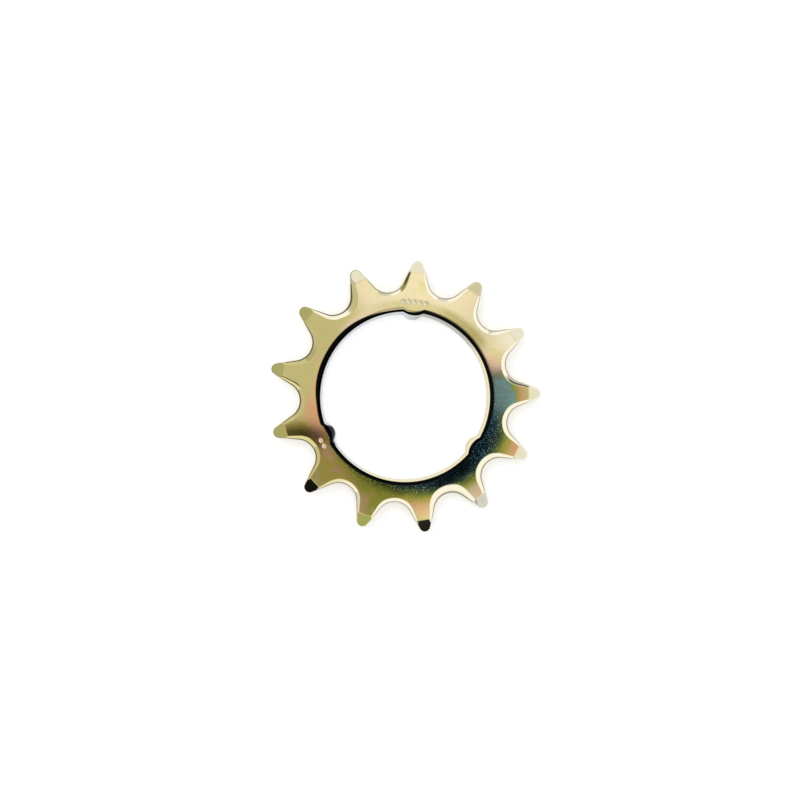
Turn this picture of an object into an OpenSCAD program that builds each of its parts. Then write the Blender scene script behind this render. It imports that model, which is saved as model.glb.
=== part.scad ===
// Three-lug bicycle hub sprocket, 13 teeth, half-inch pitch. All sizes in mm.
// It lies on its back face at z = 0 with the hub axis on Z, and tooth and lug number 0 point along +Y.

/* [Chain] */
// Number of teeth
teeth = 13; // [11:1:22]
// Distance between chain rollers
pitch = 12.7; // [12.2:0.05:13.2]
// Diameter of the chain's rollers
roller_d = 7.75; // [7:0.05:8.5]
// How much larger than the roller the seat's radius is
seat_clearance = 0.04; // [0:0.01:0.2]

/* [Teeth] */
// Diameter over the tooth tips
outside_d = 58.5; // [56.5:0.1:60]
// Angle of each flank to its tooth's middle line
flank_angle = 21; // [17:0.5:24]
// Radius that rounds the end of a tooth
tip_round = 1.3; // [1.25:0.05:1.5]
// Diameter where the turned bevel of the tips starts
bevel_start_d = 53.2; // [51:0.2:55]
// How far the bevel drops at the tips, on each face
bevel_drop = 0.7; // [0.3:0.05:1.1]
// Width of the rolled edge along the tooth outline, on the front face
edge_roll_w = 0.75; // [0.3:0.05:1]
// Drop of that rolled edge
edge_roll_drop = 0.35; // [0.1:0.05:0.5]

/* [Plate] */
// Thickness of the steel plate
plate_t = 3; // [2.2:0.1:4]

/* [Hub bore] */
// Diameter of the bore between the lugs
bore_d = 36; // [34:0.1:38]
// Width of the rolled front edge of the bore
bore_roll_w = 1.1; // [0.4:0.05:1.5]
// Drop of that rolled edge
bore_roll_drop = 0.75; // [0.2:0.05:1.2]
// Number of lugs that key into the hub
lugs = 3; // [2:1:6]
// Diameter of the circle inside the lug tips
lug_tip_d = 33.6; // [32.5:0.1:34.6]
// Radius of a lug's round end
lug_round = 2.4; // [1.8:0.1:3.2]
// Radius that rounds the front edge of a lug
lug_edge_round = 0.75; // [0.3:0.05:1.2]

/* [Hidden] */
$fn = 96;

// How far cutters run past what they cut, and how far they stand above the front face.
past = 0.5;
above = 0.2;
// The flanks are drawn this much fat and their roll this much shallow, and the lugs stay this much
// inside both faces, so that surfaces cross each other cleanly instead of only touching.
cross = 0.02;

step_angle = 360 / teeth;
pitch_r = pitch / 2 / sin(180 / teeth);
seat_r = roller_d / 2 + seat_clearance;
outside_r = outside_d / 2;

// Middle of the roller seat to the right of tooth 0.
seat_x = pitch / 2;
seat_y = pitch_r * cos(180 / teeth);

// Where the right flank of tooth 0 leaves its seat.
flank_x = seat_x - (seat_r - cross) * cos(flank_angle);
flank_y = seat_y - (seat_r - cross) * sin(flank_angle);

// Middle of the tip rounding, and the foot of its square to the flank.
tip_y = outside_r - tip_round;
tip_to_flank = flank_x * cos(flank_angle) + (flank_y - tip_y) * sin(flank_angle);
foot_y = tip_y + tip_to_flank * sin(flank_angle);
flank_length = (foot_y - flank_y) / cos(flank_angle);

// Half the width of the tooth at the height y.
function tooth_half(y) = flank_x - (y - flank_y) * tan(flank_angle);

// One tooth between its two seats, with straight flanks and a round tip.
module tooth_outline() {
  low_y = (pitch_r - seat_r) * cos(180 / teeth) - 1;
  top_y = outside_r + past;
  intersection() {
    polygon([
      [-seat_x, low_y],
      [seat_x, low_y],
      [seat_x, flank_y - 1],
      [tooth_half(flank_y), flank_y],
      [max(tooth_half(top_y), 0.05), top_y],
      [-max(tooth_half(top_y), 0.05), top_y],
      [-tooth_half(flank_y), flank_y],
      [-seat_x, flank_y - 1]
    ]);
    union() {
      translate([0, tip_y])
        circle(r = tip_round);
      translate([-seat_x - past, low_y - past])
        square([2 * (seat_x + past), foot_y - low_y + past]);
    }
  }
}

// The whole stamped outline, without the bore.
module plate_outline() {
  difference() {
    union() {
      circle(r = pitch_r - seat_r + 0.5);
      for (i = [0 : teeth - 1])
        rotate(i * step_angle)
          tooth_outline();
    }
    for (i = [0 : teeth - 1])
      rotate((i + 0.5) * step_angle)
        translate([0, pitch_r])
          circle(r = seat_r);
  }
}

// The turned blank: flat faces, and a cone on each face that thins the tooth tips.
module turned_blank() {
  slope = bevel_drop / (outside_r - bevel_start_d / 2);
  end_r = outside_r + past;
  end_drop = slope * (end_r - bevel_start_d / 2);
  rotate_extrude()
    polygon([
      [0, 0],
      [bevel_start_d / 2, 0],
      [end_r, end_drop],
      [end_r, plate_t - end_drop],
      [bevel_start_d / 2, plate_t],
      [0, plate_t]
    ]);
}

// The rolled front edge of one roller seat, a cone about the seat's middle.
module seat_roll() {
  rise = edge_roll_drop / edge_roll_w;
  translate([0, pitch_r, plate_t - edge_roll_drop])
    cylinder(
      h = edge_roll_drop + above,
      r1 = seat_r,
      r2 = seat_r + edge_roll_w + above / rise
    );
}

// The rolled front edge along the right flank of tooth 0, a wedge laid along it.
module flank_roll() {
  rise = edge_roll_drop / edge_roll_w;
  low = plate_t - edge_roll_drop + 1.5 * cross;
  translate([flank_x, flank_y, 0])
    rotate(flank_angle)
      rotate([90, 0, 180])
        linear_extrude(height = flank_length)
          polygon([
            [-past, low - past * rise],
            [(plate_t + above - low) / rise, plate_t + above],
            [-past, plate_t + above]
          ]);
}

// The hole for the hub: a plain bore with a rolled front edge.
module bore_cut() {
  rise = bore_roll_drop / bore_roll_w;
  rotate_extrude()
    polygon([
      [0, -past],
      [bore_d / 2, -past],
      [bore_d / 2, plate_t - bore_roll_drop],
      [bore_d / 2 + bore_roll_w + above / rise, plate_t + above],
      [0, plate_t + above]
    ]);
}

// One lug that stands into the bore, a short round post with a rounded front edge.
module lug() {
  height = plate_t - 2 * cross;
  translate([0, lug_tip_d / 2 + lug_round, cross])
    rotate_extrude() {
      square([lug_round - lug_edge_round, height]);
      square([lug_round, height - lug_edge_round]);
      translate([lug_round - lug_edge_round, height - lug_edge_round])
        circle(r = lug_edge_round);
    }
}

// The toothed plate before its edges are rolled.
module plate() {
  intersection() {
    linear_extrude(height = plate_t)
      plate_outline();
    turned_blank();
  }
}

// The plate with its seats and flanks rolled, one set of edges at a time.
module rolled_plate() {
  difference() {
    difference() {
      difference() {
        plate();
        for (i = [0 : teeth - 1])
          rotate((i + 0.5) * step_angle)
            seat_roll();
      }
      for (i = [0 : teeth - 1])
        rotate(i * step_angle)
          flank_roll();
    }
    for (i = [0 : teeth - 1])
      rotate(i * step_angle)
        mirror([1, 0, 0])
          flank_roll();
  }
}

// The sprocket: one stamped and turned steel plate, with lugs standing into its bore.
module sprocket() {
  color([0.80, 0.68, 0.38]) {
    difference() {
      rolled_plate();
      bore_cut();
    }
    for (i = [0 : lugs - 1])
      rotate(i * 360 / lugs)
        lug();
  }
}

sprocket();
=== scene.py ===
import math

import bpy
import numpy as np
from mathutils import Matrix, Vector


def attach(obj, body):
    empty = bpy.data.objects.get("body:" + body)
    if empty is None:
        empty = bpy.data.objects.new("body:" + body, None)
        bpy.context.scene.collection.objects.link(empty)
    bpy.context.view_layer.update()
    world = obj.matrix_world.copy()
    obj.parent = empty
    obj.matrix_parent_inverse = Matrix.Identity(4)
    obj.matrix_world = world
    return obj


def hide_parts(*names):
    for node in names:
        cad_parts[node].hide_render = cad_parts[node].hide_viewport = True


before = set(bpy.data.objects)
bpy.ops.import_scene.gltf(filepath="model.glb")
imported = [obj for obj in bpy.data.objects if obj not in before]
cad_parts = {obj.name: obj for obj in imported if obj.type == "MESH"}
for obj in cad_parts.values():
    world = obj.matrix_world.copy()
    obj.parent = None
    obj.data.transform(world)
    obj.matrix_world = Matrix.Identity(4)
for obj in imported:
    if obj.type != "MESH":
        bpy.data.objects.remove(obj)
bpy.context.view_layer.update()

# The sprocket plate.
# One stamped 3 mm steel plate: thirteen roller seats with straight flanks and round tips, the tips
# turned to a bevel on both faces, and a bore with three lugs. The press rolled its front edges over.
MM = 0.001
TEETH = 13
LUGS = 3
PLATE_T = 3.0
PITCH = 12.7
SEAT_R = 3.915
OUTSIDE_R = 29.25
FLANK_ANGLE = math.radians(21)
BEVEL_R = 26.6
BEVEL_DROP = 0.7
BEVEL_SLOPE = BEVEL_DROP / (OUTSIDE_R - BEVEL_R)
BEVEL_EASE = 0.08
BORE_R = 18.0
LUG_TIP_R = 16.8
LUG_ROUND = 2.4
LUG_FILLET = 0.6
# A lug is rolled further than the bore: its insets into the metal, and its height at each, in mm.
LUG_INSETS = [-0.22, -0.1, -0.02, 0.05, 0.1, 0.17]
LUG_HEIGHTS = [1.15, 1.2, 1.05, 0.84, 0.74, 0.7]


def tooth_edge(seat_points, flank_points, tip_points):
    """Points and outward normals once round the toothed edge, in mm, turning left.

    Half a tooth is an arc about the seat's middle on the pitch circle, a straight flank that leaves
    the arc at a tangent, and an arc about a point on the tooth's middle line that touches the flank
    and the tip circle. The half is mirrored to a tooth on +Y, and the tooth turned to thirteen places.
    """
    half_step = math.pi / TEETH
    pitch_r = PITCH / 2 / math.sin(half_step)
    seat = np.array([PITCH / 2, pitch_r * math.cos(half_step)])
    out = np.array([math.cos(FLANK_ANGLE), math.sin(FLANK_ANGLE)])
    leave = seat - SEAT_R * out
    tip_r = (leave @ out - OUTSIDE_R * out[1]) / (1 - out[1])
    tip = np.array([0, OUTSIDE_R - tip_r])
    a = np.linspace(1.5 * math.pi - half_step, math.pi + FLANK_ANGLE, seat_points, endpoint=False)
    arc = np.stack([np.cos(a), np.sin(a)], 1)
    f = np.linspace(0, 1, flank_points, endpoint=False)[:, None]
    flank = leave + f * (tip + tip_r * out - leave)
    b = np.linspace(FLANK_ANGLE, math.pi / 2, tip_points)
    cap = np.stack([np.cos(b), np.sin(b)], 1)
    half = np.concatenate([seat + SEAT_R * arc, flank, tip + tip_r * cap])
    normal = np.concatenate([-arc, np.repeat(out[None], flank_points, 0), cap])
    flip = np.array([-1.0, 1.0])
    tooth = np.concatenate([half, half[-2:0:-1] * flip])
    tooth_n = np.concatenate([normal, normal[-2:0:-1] * flip])
    turns = np.arange(TEETH) * 2 * half_step
    c, s = np.cos(turns)[:, None], np.sin(turns)[:, None]

    def spread(v):
        """One tooth's vectors, turned to the place of every tooth."""
        return np.stack([c * v[:, 0] - s * v[:, 1], s * v[:, 0] + c * v[:, 1]], -1).reshape(-1, 2)

    return spread(tooth), spread(tooth_n)


def bore_edge(angle, inset):
    """Radius of the bore's edge at each angle, set back into the metal by inset, in mm.

    It is the bore's circle less a lug's height times the lug's outline. The outline is how far the
    near side of a circle stands inside the bore, as a share of its height, run into the bore with a
    fillet. The height grows from the face to the wall.
    """
    lug_mid = LUG_TIP_R + LUG_ROUND
    step = 2 * math.pi / LUGS
    off = (angle - math.pi / 2 + step / 2) % step - step / 2
    root = LUG_ROUND ** 2 - (lug_mid * np.sin(off)) ** 2
    beyond = 99.0
    lug = np.where(root > 0, lug_mid * np.cos(off) - np.sqrt(np.maximum(root, 0)), beyond)
    near = np.maximum(LUG_FILLET - np.abs(BORE_R - lug), 0)
    stands = BORE_R - np.minimum(BORE_R, lug) + near ** 2 / (4 * LUG_FILLET)
    outline = stands / (BORE_R - LUG_TIP_R)
    return BORE_R + inset - outline * np.interp(inset, LUG_INSETS, LUG_HEIGHTS)


def tip_bevel(radius):
    """How far the turned cone lies below the face at a radius, in mm.

    It is a straight cone, and a parabola eases its start over BEVEL_EASE to each side.
    """
    past = radius - BEVEL_R
    start = np.clip(past + BEVEL_EASE, 0, 2 * BEVEL_EASE) ** 2 / (4 * BEVEL_EASE)
    return BEVEL_SLOPE * np.where(past > BEVEL_EASE, past, start)


# The rolled edge: its slope, the share of its width that eases into the face, and how far, over what
# share of its width, it turns over at the wall.
ROLL_SLOPE = 0.42
ROLL_EASE = 0.1
ROLL_TURN_DROP = 0.1
ROLL_TURN = 0.2


def edge_roll(share, width):
    """Drop of the rolled edge, in mm, at a share of its width in from the wall.

    It is a straight slope that leaves the face in a short parabola and turns over in another at the
    wall.
    """
    out = 1 - share
    slope = out - ROLL_EASE / 2 if out > ROLL_EASE else out ** 2 / (2 * ROLL_EASE)
    turned = max(0, (out - (1 - ROLL_TURN)) / ROLL_TURN) ** 2
    return ROLL_SLOPE * width * slope + ROLL_TURN_DROP * turned


# Plain punched pips on one circle, five at the top lug and two beside the left lug.
PIP_R = 0.42
PIP_DEPTH = 0.09
PIP_CIRCLE_R = 20.35
PIP_STEP = 3.4
PIP_ANGLES = [90 - PIP_STEP * (i - 2) for i in range(5)] + [212.4, 216.2]


def pip_dent(x, y):
    """Depth of the punched pips at a point of the front face, in mm.

    Each is a round-bottomed dent: its depth times 1 less the square of the share of its radius, to a
    power that makes its side steep.
    """
    depth = np.zeros_like(x)
    for angle in np.radians(PIP_ANGLES):
        near = (x - PIP_CIRCLE_R * np.cos(angle)) ** 2 + (y - PIP_CIRCLE_R * np.sin(angle)) ** 2
        depth = np.maximum(depth, PIP_DEPTH * np.clip(1 - near / PIP_R ** 2, 0, 1) ** 0.7)
    return depth


# Width of the rolled edge, in mm, at angles round the plate. It narrows from the seats to the tips.
ROLL_AT = [0, 90, 114, 121, 127, 133, 190, 225, 270, 284, 294, 304, 309, 313, 326, 340, 353, 360]
ROLL_W = [1.2, 1.0, 1.0, 2.0, 1.7, 1.15, 1.25, 0.95, 1.0, 1.0, 1.8, 2.1, 2.1, 1.5, 1.45, 1.1, 1.3, 1.2]
ROLL_RADII = [23.2, 27.2]
ROLL_SHARES_KEPT = [1.0, 0.45]

edge, edge_n = tooth_edge(seat_points=22, flank_points=20, tip_points=16)
edge_r = np.hypot(edge[:, 0], edge[:, 1])
edge_at = np.degrees(np.arctan2(edge[:, 1], edge[:, 0])) % 360
roll_w = np.interp(edge_at, ROLL_AT, ROLL_W) * np.interp(edge_r, ROLL_RADII, ROLL_SHARES_KEPT)
roll_end = edge - roll_w[:, None] * edge_n
roll_end_r = np.hypot(roll_end[:, 0], roll_end[:, 1])
theta = np.arctan2(roll_end[:, 1], roll_end[:, 0])
ray = np.stack([np.cos(theta), np.sin(theta)], 1)

rings = []
rims = []
bores = []


def add_ring(xy, z, rim=0.0, bore=0.0):
    """One closed ring of the section at a height, and its share in the rim's and the bore's roll."""
    rings.append(np.column_stack([xy, np.broadcast_to(z, len(xy))]))
    rims.append(np.full(len(xy), rim))
    bores.append(np.full(len(xy), bore))


# Outer wall upwards, then the rolled edge inwards. Points move square to the tooth edge. A small lip
# rounds the wall's top, over the first share of the roll.
ROLL_SHARES = (0.012, 0.04, 0.08, 0.13, 0.18, 0.25, 0.42, 0.62, 0.8, 0.9, 0.95, 1.0)
LIP_DROP = 0.05
LIP_SHARE = 0.09
WALL_FOOT = 0.06
wall_top = PLATE_T - np.maximum(tip_bevel(edge_r), edge_roll(0, roll_w)) - LIP_DROP
wall_low = tip_bevel(edge_r) + WALL_FOOT
for share in (0, 0.5, 1):
    add_ring(edge, wall_low + share * (wall_top - wall_low), 1.0)
for share in ROLL_SHARES:
    xy = edge - (share * roll_w)[:, None] * edge_n
    drop = np.maximum(tip_bevel(np.hypot(xy[:, 0], xy[:, 1])), edge_roll(share, roll_w))
    lip = LIP_DROP * max(0, 1 - share / LIP_SHARE) ** 2
    add_ring(xy, PLATE_T - drop - lip, 1 - share)

# Across the face along rays. The first rings lie each side of the line where the bevel starts: how far
# they keep inside the roll, and how far past that line they lie. The next ones carry the pips.
BEVEL_RINGS = ((0.03, 0.16), (0.06, 0.08), (0.09, 0.0), (0.12, -0.08), (0.24, -0.2))
FACE_RADII = np.linspace(21.0, 19.75, 13)
FACE_GAP = 0.3
FACE_GAP_STEP = 0.02
for gap, past in BEVEL_RINGS:
    ring_r = np.minimum(roll_end_r - gap, BEVEL_R + past)
    add_ring(ray * ring_r[:, None], PLATE_T - tip_bevel(ring_r))
for step, level in enumerate(FACE_RADII):
    xy = ray * np.minimum(level, roll_end_r - FACE_GAP - FACE_GAP_STEP * step)[:, None]
    add_ring(xy, PLATE_T - pip_dent(xy[:, 0], xy[:, 1]))

# Down over the bore's rolled edge, the wall and the back edge: set back from the wall and dropped.
BORE_ROLL = [
    (1.06, 0), (1.0, 0.008), (0.93, 0.035), (0.86, 0.08), (0.78, 0.145), (0.6, 0.31),
    (0.42, 0.48), (0.27, 0.63), (0.17, 0.77), (0.1, 0.95), (0.05, 1.2), (-0.02, 1.6),
    (-0.1, 2.1), (-0.18, 2.6), (-0.22, 2.86), (-0.2, 2.95), (-0.14, 2.99), (-0.06, 3.0),
]
BORE_ROLL_W = 1.1
BORE_ROLL_GAP = 0.1
add_ring(ray * (bore_edge(theta, BORE_ROLL[0][0]) + BORE_ROLL_GAP)[:, None], PLATE_T)
for inset, drop in BORE_ROLL:
    add_ring(ray * bore_edge(theta, inset)[:, None], PLATE_T - drop, 0.0, BORE_ROLL_W - inset)

# Back face outwards to the wall again: rings on the flat, rings at the bevel's line, and the edge.
BACK_RINGS = ((20.2, 0.28), (21.2, 0.2))
BACK_BEVEL_RINGS = ((0.12, -0.1), (0.06, 0.0), (0.03, 0.1))
BACK_INSETS = (0.36, 0.22, 0.1, 0.03)
BACK_LIP = 0.03
BACK_LIP_W = 0.1
for level, gap in BACK_RINGS:
    add_ring(ray * np.minimum(level, roll_end_r - gap)[:, None], 0.0)
for gap, past in BACK_BEVEL_RINGS:
    ring_r = np.minimum(roll_end_r - gap, BEVEL_R + past)
    add_ring(ray * ring_r[:, None], tip_bevel(ring_r))
for inset in BACK_INSETS:
    xy = edge - inset * edge_n
    lip = BACK_LIP * max(0, 1 - inset / BACK_LIP_W)
    add_ring(xy, tip_bevel(np.hypot(xy[:, 0], xy[:, 1])) + lip)


def closed_grid(rings):
    """Vertices in metres and quads of a grid that closes round the axis and round the section."""
    grid = np.array(rings) * MM
    k, n = grid.shape[:2]
    index = np.arange(k * n).reshape(k, n)
    after = np.roll(index, -1, 0)
    quads = np.stack([index, np.roll(index, -1, 1), np.roll(after, -1, 1), after], -1).reshape(-1, 4)
    return grid.reshape(-1, 3), quads


def mesh_piece(name, points, quads):
    """A smooth-shaded mesh object from whole arrays."""
    mesh = bpy.data.meshes.new(name)
    mesh.vertices.add(len(points))
    mesh.vertices.foreach_set("co", points.astype(np.float32).ravel())
    mesh.loops.add(quads.size)
    mesh.loops.foreach_set("vertex_index", quads.astype(np.int32).ravel())
    mesh.polygons.add(len(quads))
    mesh.polygons.foreach_set("loop_start", np.arange(0, quads.size, 4, dtype=np.int32))
    mesh.update(calc_edges=True)
    mesh.validate()
    mesh.polygons.foreach_set("use_smooth", np.ones(len(quads), dtype=bool))
    piece = bpy.data.objects.new(name, mesh)
    bpy.context.scene.collection.objects.link(piece)
    return piece


plate = mesh_piece("sprocket_plate", *closed_grid(rings))
for name, shares in (("rim", rims), ("bore_roll", bores)):
    attribute = plate.data.attributes.new(name, "FLOAT", "POINT")
    attribute.data.foreach_set("value", np.concatenate(shares).astype(np.float32))


class Value:
    """A node socket that takes part in Python sums: an operator on it adds a Math node."""

    def __init__(self, finish, socket):
        self.finish = finish
        self.socket = socket

    def math(self, operation, first, second):
        """A Math node of two values."""
        return self.finish.node("ShaderNodeMath", {"operation": operation}, first, second)

    def __add__(self, other):
        return self.math("ADD", self, other)

    def __radd__(self, other):
        return self.math("ADD", other, self)

    def __sub__(self, other):
        return self.math("SUBTRACT", self, other)

    def __rsub__(self, other):
        return self.math("SUBTRACT", other, self)

    def __mul__(self, other):
        return self.math("MULTIPLY", self, other)

    def __rmul__(self, other):
        return self.math("MULTIPLY", other, self)

    def __truediv__(self, other):
        return self.math("DIVIDE", self, other)

    def __rtruediv__(self, other):
        return self.math("DIVIDE", other, self)

    def __pow__(self, other):
        return self.math("POWER", self, other)

    def or_more(self, other):
        """The larger of this value and another."""
        return self.math("MAXIMUM", self, other)

    def ramp(self, low, high):
        """0 below low, 1 above high and an eased step between."""
        settings = {"interpolation_type": "SMOOTHSTEP"}
        return self.finish.node("ShaderNodeMapRange", settings, self, low, high, 0.0, 1.0)


class Finish:
    """A new material and its nodes."""

    def __init__(self, name):
        self.material = bpy.data.materials.new(name)
        self.material.use_nodes = True
        self.tree = self.material.node_tree
        self.tree.nodes.clear()

    def node(self, kind, settings=None, *inputs, out=0, **named):
        """Any node: its settings, then its inputs in order, None for one to leave, or by name."""
        made = self.tree.nodes.new(kind)
        for key, value in (settings or {}).items():
            if key == "stops":
                self.set_stops(made.color_ramp.elements, value)
            else:
                setattr(made, key, value)
        for place, value in enumerate(inputs):
            self.feed(made.inputs[place], value)
        for key, value in named.items():
            self.feed(made.inputs[key.replace("_", " ")], value)
        return Value(self, made.outputs[out]) if made.outputs else None

    def feed(self, socket, value):
        """Link a value to a socket, or set the socket to a plain number, colour or vector."""
        if isinstance(value, Value):
            self.tree.links.new(value.socket, socket)
        elif value is not None:
            socket.default_value = value

    def set_stops(self, elements, stops):
        """Give a colour ramp its list of (value, colour) stops."""
        while len(elements) < len(stops):
            elements.new(0.5)
        for element, (at, colour) in zip(elements, stops):
            element.position = at
            element.color = (*colour, 1)

    def blend(self, share, first, second):
        """The colour first where share is 0 and second where it is 1."""
        other_kinds = [None] * 5
        return self.node("ShaderNodeMix", {"data_type": "RGBA"}, share, *other_kinds, first, second, out=2)

    def axes(self, point):
        """The three coordinates of a point."""
        return [self.node("ShaderNodeSeparateXYZ", None, point, out=axis) for axis in "XYZ"]


# The plating is bright zinc under a yellow chromate film. The film is thinnest in an oval low on the
# right of the bore, where it is steel blue, and runs outwards through olive and rose to straw gold.
# The plate lies turned in the image, so its finish is placed by image angles from the right.
IMAGE_TURN = math.radians(5.35)
FILM_MIDDLE = (3.4, -3.95)
FILM_OVAL = (19.2, 17.1)
FILM = [
    (0.0, (0.11, 0.29, 0.38)),
    (0.18, (0.21, 0.37, 0.36)),
    (0.32, (0.35, 0.46, 0.13)),
    (0.44, (0.50, 0.50, 0.08)),
    (0.54, (0.64, 0.48, 0.13)),
    (0.68, (0.80, 0.46, 0.24)),
    (0.92, (0.68, 0.59, 0.24)),
]
CREAM = (0.78, 0.66, 0.42, 1)
TAN = (0.66, 0.52, 0.11, 1)
WARM = (0.72, 0.57, 0.27, 1)
COOL = (0.58, 0.55, 0.20, 1)
PINK = (0.86, 0.54, 0.27, 1)
PALE = (0.80, 0.74, 0.56, 1)
TEAL = (0.30, 0.49, 0.44, 1)
OLIVE = (0.46, 0.48, 0.06, 1)
ROSE = (0.84, 0.44, 0.22, 1)
BRONZE = (0.64, 0.50, 0.11, 1)
PEACH = (0.92, 0.70, 0.50, 1)
# A painted shade colour, used by the bore and on the top flank's roll.
SHADE_OLIVE = (0.38, 0.34, 0.09, 1)
GREY_BROWN = (0.36, 0.34, 0.25, 1)
# A painted shade colour, used by the bore.
SHADE_GOLD = (0.55, 0.48, 0.20, 1)
# A painted dark reflection colour.
PAINTED_DARK_REFLECTION = (0.02, 0.05, 0.05, 1)
RIM = (0.88, 0.82, 0.64, 1)
RIM_GOLD = (0.68, 0.60, 0.28, 1)
RIM_DULL = (0.52, 0.46, 0.20, 1)
EDGE_LINE = (0.09, 0.08, 0.03, 1)
# A painted shade colour.
SHADE_STREAK = (0.03, 0.027, 0.012, 1)
BARE_ZINC = (0.72, 0.68, 0.52, 1)
OLIVE_ZINC = (0.67, 0.63, 0.23, 1)
GREY_ZINC = (0.54, 0.54, 0.47, 1)
DULL_ZINC = (0.48, 0.41, 0.22, 1)
GREEN_TIP = (0.52, 0.56, 0.10, 1)
PIP_ZINC = (0.74, 0.71, 0.58, 1)
SHEARED = (0.66, 0.57, 0.29, 1)
# Colour of the real shear lines and scores, and of painted shade at the foot of the bore's wall.
SHEAR_LINE_AND_SHADE = (0.30, 0.28, 0.20, 1)
TORN = (0.42, 0.37, 0.20, 1)
WALL = (0.80, 0.72, 0.48, 1)
SILVER = (0.60, 0.64, 0.68, 1)
# A painted dark reflection colour.
DARK_REFLECTION_BLACK = (0.004, 0.004, 0.005, 1)

gold = Finish("yellow_chromate")
place = gold.node("ShaderNodeTexCoord", out="Object")
place = gold.node("ShaderNodeVectorMath", {"operation": "SCALE"}, place, Scale=1 / MM)
x, y, z = gold.axes(place)
radius = (x * x + y * y) ** 0.5
rim = gold.node("ShaderNodeAttribute", {"attribute_name": "rim"}, out="Fac")
bore_roll = gold.node("ShaderNodeAttribute", {"attribute_name": "bore_roll"}, out="Fac")


def noise(scale, detail, rough, distortion=0.0):
    """Noise in the plate's own millimetres."""
    sockets = {"Scale": scale, "Detail": detail, "Roughness": rough, "Distortion": distortion}
    return gold.node("ShaderNodeTexNoise", None, place, **sockets)


def toward(angle, low, high):
    """1 along a ray from the axis at an image angle, 0 where the cosine to it drops to low."""
    a = math.radians(angle) + IMAGE_TURN
    return ((x * math.cos(a) + y * math.sin(a)) / radius).ramp(low, high)


cloud = noise(0.16, 3.0, 0.55, 0.6)
smudge = noise(0.55, 4.0, 0.6)
grain = noise(4.2, 3.0, 0.6)

# The film's thickness follows its oval, with a tongue at the right and noise in its edge.
off_x = x - FILM_MIDDLE[0]
off_y = y - FILM_MIDDLE[1]
along = (off_x * math.cos(IMAGE_TURN) + off_y * math.sin(IMAGE_TURN)) / FILM_OVAL[0]
across = (off_y * math.cos(IMAGE_TURN) - off_x * math.sin(IMAGE_TURN)) / FILM_OVAL[1]
oval = (along * along + across * across) ** 0.5 + 0.13 * toward(28, 0.970, 0.99)
oval = oval - 0.16 * toward(2, 0.975, 0.995) * (1 - radius.ramp(23.5, 25.0))
film = (oval - 0.8) / 0.5 + (smudge - 0.5) * 0.2 + (grain - 0.5) * 0.25 + (cloud - 0.5) * 0.3
right_side = toward(27, 0.972, 0.988)
film = film.or_more(right_side * 0.7)
colour = gold.node("ShaderNodeValToRGB", {"stops": FILM}, film)

# Patches of the film round the plate, each at its angle and radius, and the grain over all of it. Among
# them are painted shade by the bore at the top and a painted dark reflection by the bore at the lower
# right.
by_bore = 1 - radius.ramp(20.4, 21.8)
shade_by_ring = (1 - radius.ramp(20.0, 21.5)) * (0.45 + 0.8 * smudge)
full_film = film.ramp(0.8, 1.0)
colour = gold.blend(cloud.ramp(0.48, 0.68) * full_film * 0.35, colour, WARM)
colour = gold.blend(smudge.ramp(0.5, 0.7) * full_film * 0.35, colour, COOL)
colour = gold.blend(toward(2, 0.972, 0.992) * (1 - film.ramp(0.2, 0.35)), colour, TEAL)
patch = film.ramp(0.45, 0.6) * toward(233, 0.86, 0.95) * smudge.ramp(0.3, 0.62)
colour = gold.blend(patch, colour, BRONZE)
colour = gold.blend(toward(226, 0.985, 0.998) * smudge.ramp(0.35, 0.6) * 0.7, colour, TAN)
colour = gold.blend(toward(254, 0.94, 0.99) * smudge.ramp(0.3, 0.55) * 0.8, colour, OLIVE)
patch = toward(244, 0.990, 0.9985) * radius.ramp(21.5, 24.0) * smudge.ramp(0.35, 0.5)
colour = gold.blend(patch, colour, PINK)
colour = gold.blend(toward(194, 0.95, 0.995) * (1 - radius.ramp(20.2, 23.2)) * 0.85, colour, ROSE)
colour = gold.blend(toward(199, 0.990, 0.998) * radius.ramp(20.8, 22.6) * 0.9, colour, BRONZE)
colour = gold.blend(toward(215, 0.991, 0.998) * by_bore * 0.7, colour, PINK)
colour = gold.blend(toward(118, 0.94, 0.985) * (1 - radius.ramp(19.6, 20.8)) * 0.7, colour, PEACH)
colour = gold.blend(toward(170, 0.95, 0.985) * (1 - radius.ramp(19.6, 20.7)) * 0.6, colour, PINK)
patch = toward(14.5, 0.9965, 0.999) * (1 - radius.ramp(23.0, 24.5)) * 0.75
colour = gold.blend(patch, colour, GREY_BROWN)
colour = gold.blend(right_side * (1 - film.ramp(0.75, 1.0)) * 0.55, colour, PEACH)
patch = toward(70, 0.55, 0.78) * film.ramp(0.7, 1.0) * cloud.ramp(0.2, 0.5) * 0.85
colour = gold.blend(patch, colour, CREAM)
colour = gold.blend(toward(32, 0.94, 0.99) * radius.ramp(21.0, 26.0) * 0.8, colour, PALE)
# Painted shade: the face darkens towards the bore's edge at the top and upper right.
colour = gold.blend(toward(74, 0.72, 0.92) * shade_by_ring * 0.7, colour, SHADE_GOLD)
colour = gold.blend(toward(50, 0.93, 0.99) * shade_by_ring * 0.6, colour, SHADE_OLIVE)
# Painted dark reflection: the face by the bore at the lower right is painted near black.
colour = gold.blend(toward(300, 0.95, 0.99) * by_bore * 0.7, colour, PAINTED_DARK_REFLECTION)
colour = gold.blend(toward(306, 0.985, 0.997) * radius.ramp(23.0, 24.5) * 0.4, colour, PALE)
colour = gold.blend(grain.ramp(0.5, 0.75) * 0.14, colour, EDGE_LINE)

# The rolled edge is worn pale, and keeps more of its film on the left.
left = toward(168, 0.2, 0.65)
rolled = gold.blend(left, RIM, RIM_GOLD)
rolled = gold.blend(toward(131, 0.985, 0.996), rolled, RIM)
rolled = gold.blend(toward(160, 0.980, 0.997) * 0.85, rolled, RIM_DULL)
colour = gold.blend(rim.ramp(0.02, 0.1), colour, rolled)

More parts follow.
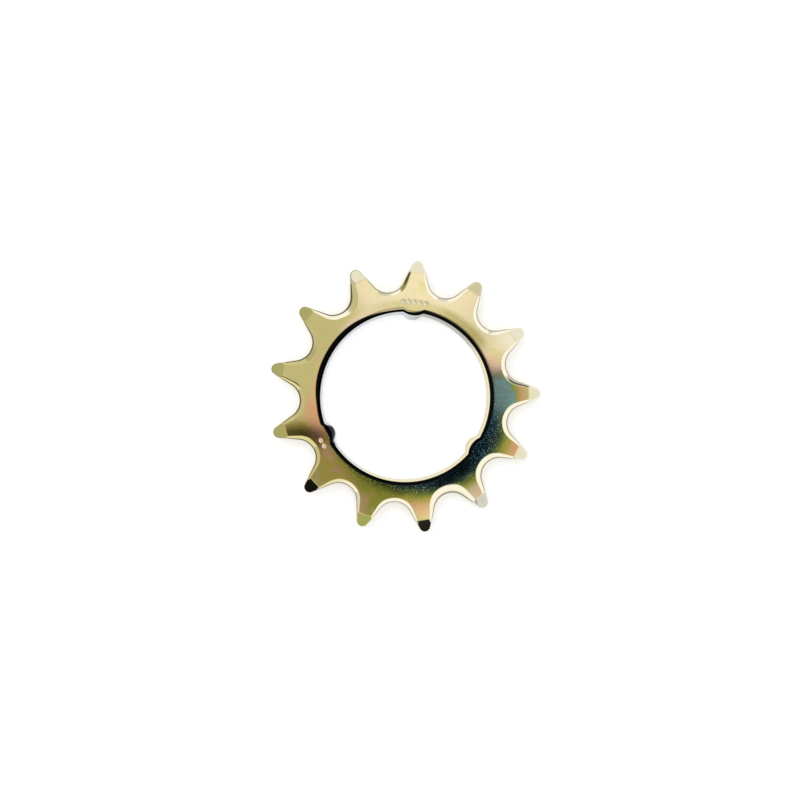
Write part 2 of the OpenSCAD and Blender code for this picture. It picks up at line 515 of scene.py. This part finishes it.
# The turned tips are nearly bare zinc, greener on the left and at the foot.
tip = radius.ramp(BEVEL_R - 0.1, BEVEL_R + 0.3)
zinc = gold.blend(toward(168, 0.72, 0.88), BARE_ZINC, OLIVE_ZINC)
zinc = gold.blend(toward(306, 0.96, 0.98), zinc, GREY_ZINC)
zinc = gold.blend(toward(57, 0.97, 0.99) * 0.8, zinc, DULL_ZINC)
colour = gold.blend(tip * 0.85, colour, zinc)
foot = (1 - y.ramp(-26.5, -22.0)) * (1 - x.ramp(-4.0, 0.0))
colour = gold.blend(tip * foot * 0.85, colour, GREEN_TIP)

# A dark line of painted shade runs along the outer corner of the roll, darker on the left, and painted
# shade lies as dark streaks and an olive band on three flanks.
on_wall = rim.ramp(0.985, 1.0)
line = rim.ramp(0.70, 0.82) * (1 - rim.ramp(0.988, 1.0)) * (1 - tip * (1 - 0.6 * left))
colour = gold.blend(line * cloud.ramp(0.1, 0.4) * (0.65 + 0.3 * left), colour, EDGE_LINE)
top_flank = toward(90, 0.9983, 0.9995) * radius.ramp(21.5, 23.0) * (1 - tip)
left_flank = toward(172.5, 0.9975, 0.9992) * radius.ramp(22.2, 23.4) * (1 - tip)
right_flank = toward(7.5, 0.9960, 0.9985) * radius.ramp(21.5, 23.0) * (1 - tip)
colour = gold.blend(top_flank * rim.ramp(0.02, 0.12) * (1 - on_wall), colour, SHADE_OLIVE)
shade_streak = top_flank * radius.ramp(23.5, 25.0) * rim.ramp(0.25, 0.4) * (1 - rim.ramp(0.8, 0.95))
shade_streak = shade_streak + left_flank * rim.ramp(0.0, 0.06) * (1 - rim.ramp(0.2, 0.34))
shade_streak = shade_streak + right_flank * rim.ramp(0.05, 0.2) * (1 - rim.ramp(0.5, 0.75))
colour = gold.blend(shade_streak * 0.9, colour, SHADE_STREAK)

# The press sheared the outer wall smooth for its upper part and tore the rest, with upright scores.
score = gold.node("ShaderNodeVectorMath", {"operation": "MULTIPLY"}, place, (4.0, 4.0, 0.25))
score = gold.node("ShaderNodeTexNoise", None, score, Scale=1.0, Detail=3.0, Roughness=0.6)
torn_top = 0.75 + 0.7 * smudge
torn = 1 - z.ramp(torn_top, torn_top + 0.25)
sheared = gold.blend(score.ramp(0.4, 0.75) * 0.35, SHEARED, SHEAR_LINE_AND_SHADE)
colour = gold.blend(on_wall, colour, gold.blend(torn * (0.55 + 0.4 * grain), sheared, TORN))

# The punched pips are pale: they are what lies under the face on their circle.
on_pips = (1 - radius.ramp(20.8, 21.2)) * radius.ramp(19.7, 19.8)
pip = z.ramp(2.4, 2.5) * (1 - z.ramp(2.95, 2.99)) * on_pips
colour = gold.blend(pip, colour, PIP_ZINC)

# The bore's wall is silver at the upper left and gold at the lower right, with a shear line round it and
# painted shade towards its foot.
# Its rolled edge is painted black as a painted dark reflection, which runs down the left lug.
wall = gold.blend((x * 0.8 - y * 0.6).ramp(-3.0, 9.0), SILVER, WALL)
wall = gold.blend(toward(60, 0.86, 0.97) * (0.2 + 0.8 * score), wall, SHEAR_LINE_AND_SHADE)
wall = gold.blend(z.ramp(1.25, 1.35) * (1 - z.ramp(1.4, 1.5)) * 0.6, wall, SHEAR_LINE_AND_SHADE)
# Painted shade: the wall darkens towards its foot, like a contact shadow.
wall = gold.blend((1 - z.ramp(0.0, 0.6)) * 0.5, wall, SHEAR_LINE_AND_SHADE)
# Painted dark reflection: the bore's rolled edge and the left lug's wall are painted black.
dark_reflection_low = 2.25 - 1.5 * toward(207, 0.990, 0.997)
dark_reflection_from = z.ramp(dark_reflection_low, dark_reflection_low + 0.15)
on_bore_wall = (1 - dark_reflection_from) * (1 - radius.ramp(18.3, 18.5)) * z.ramp(0.0, 0.04)
colour = gold.blend(on_bore_wall, colour, wall)
dark_reflection_r = 18.1 + 0.65 * toward(150, 0.45, 0.75) + 0.6 * toward(150, 0.70, 1.0)
thin = 0.02 + 0.28 * toward(102, 0.92, 0.99) + 0.08 * toward(45, 0.8, 0.95)
dark_reflection_roll = bore_roll.ramp(thin, thin + 0.08).or_more(1 - radius.ramp(dark_reflection_r, dark_reflection_r + 0.25))
dark_reflection = dark_reflection_from * dark_reflection_roll * (1 - radius.ramp(19.75, 19.9))
colour = gold.blend(dark_reflection, colour, DARK_REFLECTION_BLACK)

# Bright specks lie in the blue oval. The walls are rougher and scored, and the faces slightly uneven.
speck = grain.ramp(0.56, 0.70) * (1 - oval.ramp(1.0, 1.14)) * (1 - dark_reflection)
speck = speck * (1 - 0.7 * toward(303, 0.95, 0.99) * (1 - radius.ramp(20.5, 22.0)))
rough = 0.04 + 0.03 * smudge + 0.32 * speck
rough = rough + on_wall * (0.08 + 0.24 * torn) + on_bore_wall * (0.06 + 0.16 * torn)
height = cloud * 0.008 + smudge * 0.002 + grain * 0.0006
height = height + (on_wall + on_bore_wall) * (0.02 * score + 0.03 * torn * grain)
bump = gold.node("ShaderNodeBump", None, Strength=0.3, Distance=MM, Height=height)
sockets = {"Base Color": colour, "Metallic": 1.0, "Roughness": rough, "Normal": bump}
metal = gold.node("ShaderNodeBsdfPrincipled", None, **sockets)
gold.node("ShaderNodeOutputMaterial", None, metal)

plate.data.materials.append(gold.material)
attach(plate, "root")
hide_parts("sprocket")

# The camera.
# It looks down on the plate from 0.3 m, leaning a little to the left, and is rolled so that the first
# tooth stands right of straight up.
CAMERA_REACH = 0.300
CAMERA_LEAN = math.radians(4.5)
CAMERA_SIDE = math.radians(172)
SENSOR_W = 36.0
FRAME_PX = 800
MIDDLE_PX = (405.8, 397.0)
PIXELS_PER_MM = 4.68
PIXEL = MM / PIXELS_PER_MM

image_right = np.array([math.cos(IMAGE_TURN), math.sin(IMAGE_TURN), 0.0])
image_up = np.array([-math.sin(IMAGE_TURN), math.cos(IMAGE_TURN), 0.0])
plate_up = np.array([0.0, 0.0, 1.0])
face_mid = PLATE_T * MM * plate_up
lean_to = math.cos(CAMERA_SIDE) * image_right + math.sin(CAMERA_SIDE) * image_up
back = math.sin(CAMERA_LEAN) * lean_to + math.cos(CAMERA_LEAN) * plate_up
up = image_up - (image_up @ back) * back
up = up / np.linalg.norm(up)
right = np.cross(up, back)
target = face_mid + (FRAME_PX / 2 - MIDDLE_PX[0]) * PIXEL * right
target = target + (MIDDLE_PX[1] - FRAME_PX / 2) * PIXEL * up
eye = target + CAMERA_REACH * back

lens = bpy.data.cameras.new("camera")
lens.sensor_width = SENSOR_W
lens.lens = SENSOR_W * CAMERA_REACH / (PIXEL * FRAME_PX)
lens.clip_start = 0.005
lens.clip_end = 20
camera = bpy.data.objects.new("camera", lens)
stand = np.eye(4)
stand[:3, :] = np.stack([right, up, back, eye], 1)
camera.matrix_world = Matrix(stand.tolist())
bpy.context.scene.collection.objects.link(camera)
bpy.context.scene.camera = camera

# The table.
# A round white table top whose rim sweeps up into a low backdrop. Its own glow keeps it white where
# the camera or the metal sees it, and the plate's shadow still falls on it.
TABLE_RADII = [0.0, 0.5]
TABLE_STEPS = 97
SWEEP_FROM = 1.2
SWEEP_R = 0.4
SWEEP_STEPS = 13
BACKDROP_H = 0.7
TABLE_PAINT = (0.8, 0.8, 0.8, 1)
TABLE_GLOW = 0.43
SWEEP_GLOW = 0.08
WHITE = (1, 1, 1, 1)

sweep = np.radians(np.linspace(0, 90, SWEEP_STEPS))
table_r = np.concatenate([TABLE_RADII, SWEEP_FROM + SWEEP_R * np.sin(sweep), [SWEEP_FROM + SWEEP_R]])
table_z = np.concatenate([[0, 0], SWEEP_R * (1 - np.cos(sweep)), [BACKDROP_H]])


def open_grid(grid):
    """Vertices and quads of a grid of points that stays open on all four sides."""
    k, n = grid.shape[:2]
    index = np.arange(k * n).reshape(k, n)
    corners = [index[:-1, :-1], index[:-1, 1:], index[1:, 1:], index[1:, :-1]]
    return grid.reshape(-1, 3), np.stack(corners, -1).reshape(-1, 4)


def swept(reach, rise, steps):
    """A grid of points: a profile of reaches and heights carried once round the axis."""
    a = np.linspace(0, 2 * math.pi, steps)
    flat = reach[:, None, None] * np.stack([np.cos(a), np.sin(a)], 1)
    return np.concatenate([flat, np.broadcast_to(rise[:, None, None], flat.shape[:2] + (1,))], 2)


table = mesh_piece("table", *open_grid(swept(table_r, table_z, TABLE_STEPS)))
white = Finish("white_table")
by_camera = white.node("ShaderNodeLightPath", out="Is Camera Ray")
by_metal = white.node("ShaderNodeLightPath", out="Is Glossy Ray")
by_glass = white.node("ShaderNodeLightPath", out="Is Transmission Ray")
swept_up = white.axes(white.node("ShaderNodeTexCoord", out="Object"))[2].ramp(0.0, SWEEP_R)
glow = (by_camera + by_metal + by_glass) * (TABLE_GLOW + SWEEP_GLOW * swept_up)
glow = white.node("ShaderNodeEmission", None, WHITE, glow)
matt = white.node("ShaderNodeBsdfDiffuse", None, TABLE_PAINT)
white.node("ShaderNodeOutputMaterial", None, white.node("ShaderNodeAddShader", None, matt, glow))
table.data.materials.append(white.material)

# The room and its cards.
# A pale even room, one soft lamp, and studio cards that only the metal sees: dark flags low all round,
# cards and flags on a dome for the tips and rolled edges, and oval cards overhead for the front face.
ROOM = 0.8
DOME_R = 0.6
DOME_STEPS = (49, 9)
LAMP_SIZE = 0.5
LAMP_POWER = 1.5
LAMP_PLACE = (-0.45, 0.45, 0.6)

room = bpy.data.worlds.new("room")
room.use_nodes = True
room.node_tree.nodes["Background"].inputs[0].default_value = WHITE
room.node_tree.nodes["Background"].inputs[1].default_value = ROOM
bpy.context.scene.world = room


def set_card(card, level, inside=None):
    """Give a card its glow, seen in the metal alone.

    Where inside, a function of the place on the card, is 0 the card is clear.
    """
    paint = Finish(card.name)
    shade = paint.node("ShaderNodeEmission", None, WHITE, level)
    if inside is not None:
        share = inside(*paint.axes(paint.node("ShaderNodeTexCoord", out="Object")))
        clear = paint.node("ShaderNodeBsdfTransparent")
        shade = paint.node("ShaderNodeMixShader", None, share, clear, shade)
    paint.node("ShaderNodeOutputMaterial", None, shade)
    card.data.materials.append(paint.material)
    card.visible_camera = False
    card.visible_diffuse = False
    card.visible_shadow = False


def dome_card(name, level, angles, heights):
    """A patch of a dome about the plate, between two image angles and two heights in degrees."""
    a = np.radians(np.linspace(*angles, DOME_STEPS[0]))[None, :, None]
    h = np.radians(np.linspace(*heights, DOME_STEPS[1]))[:, None, None]
    flat = np.cos(h) * (np.cos(a) * image_right + np.sin(a) * image_up)
    set_card(mesh_piece(name, *open_grid(DOME_R * (flat + np.sin(h) * plate_up))), level)


def roof_card(name, level, middle, reach, soft, height):
    """A level oval card that the front face mirrors to the camera: middle and reaches in mm on it.

    The mirror image of the eye, the face's point and the card's point lie on one line. The card
    thins out over the soft share of its reach.
    """
    point = face_mid + MM * (middle[0] * image_right + middle[1] * image_up)
    mirrored = eye * np.array([1, 1, -1]) + 2 * face_mid
    grow = (height - face_mid[2]) / (eye[2] - face_mid[2])
    spot = point + (point - mirrored) * grow
    size = MM * (1 + grow) * np.array(reach)
    u, v = np.meshgrid(np.linspace(-1, 1, 3), np.linspace(-1, 1, 3))
    grid = spot + size[0] * u[..., None] * image_right + size[1] * v[..., None] * image_up

    def inside(x, y, z):
        """1 on the card's middle, easing to 0 at the edge of its oval."""
        x = x - float(spot[0])
        y = y - float(spot[1])
        a = (x * float(image_right[0]) + y * float(image_right[1])) / float(size[0])
        b = (x * float(image_up[0]) + y * float(image_up[1])) / float(size[1])
        return 1 - ((a * a + b * b) ** 0.5).ramp(1 - soft, 1.0)

    set_card(mesh_piece(name, *open_grid(grid)), level, inside)


dome_card("low_flags", 0.0, angles=(0, 360), heights=(1, 7))
dome_card("top_card", 1.12, angles=(60, 122), heights=(40, 70))
dome_card("left_card", 0.6, angles=(130, 206), heights=(52, 62))
dome_card("left_flag", 0.006, angles=(222, 236), heights=(51, 60.5))
dome_card("front_card", 0.66, angles=(250, 266), heights=(49, 58))
dome_card("front_flag", 0.02, angles=(278, 292), heights=(47, 56.5))
dome_card("front_bright_card", 1.12, angles=(214, 300), heights=(21, 46.5))
dome_card("right_card", 1.12, angles=(300, 420), heights=(14, 72))
roof_card("teal_disc", 0.4, middle=(20.5, 1.4), reach=(7.0, 9.6), soft=0.9, height=0.58)
roof_card("dark_oval", 0.0, middle=(3.0, -4.3), reach=(19.9, 17.8), soft=0.09, height=0.60)
roof_card("brown_disc", 0.03, middle=(-22.6, -8.6), reach=(7.5, 3.8), soft=0.45, height=0.61)
roof_card("dim_disc", 0.45, middle=(-18.2, -18.2), reach=(19.2, 11.7), soft=0.12, height=0.62)
roof_card("peach_disc", 1.15, middle=(23.0, 9.5), reach=(9.0, 8.0), soft=0.6, height=0.63)
roof_card("rose_disc", 1.15, middle=(10.0, -28.0), reach=(12.0, 9.0), soft=0.6, height=0.635)
roof_card("tooth_disc", 1.05, middle=(-8.2, 24.0), reach=(5.8, 6.0), soft=0.5, height=0.645)
roof_card("bright_disc", 1.2, middle=(4.3, 28.0), reach=(24.0, 24.0), soft=0.7, height=0.64)

lamp_data = bpy.data.lights.new("soft_lamp", "AREA")
lamp_data.size = LAMP_SIZE
lamp_data.energy = LAMP_POWER
lamp = bpy.data.objects.new("soft_lamp", lamp_data)
lamp.location = LAMP_PLACE
lamp.rotation_mode = "QUATERNION"
lamp.rotation_quaternion = (-Vector(LAMP_PLACE)).to_track_quat("-Z", "Y")
lamp.visible_glossy = False
bpy.context.scene.collection.objects.link(lamp)
bpy.context.scene.view_settings.view_transform = "Standard"
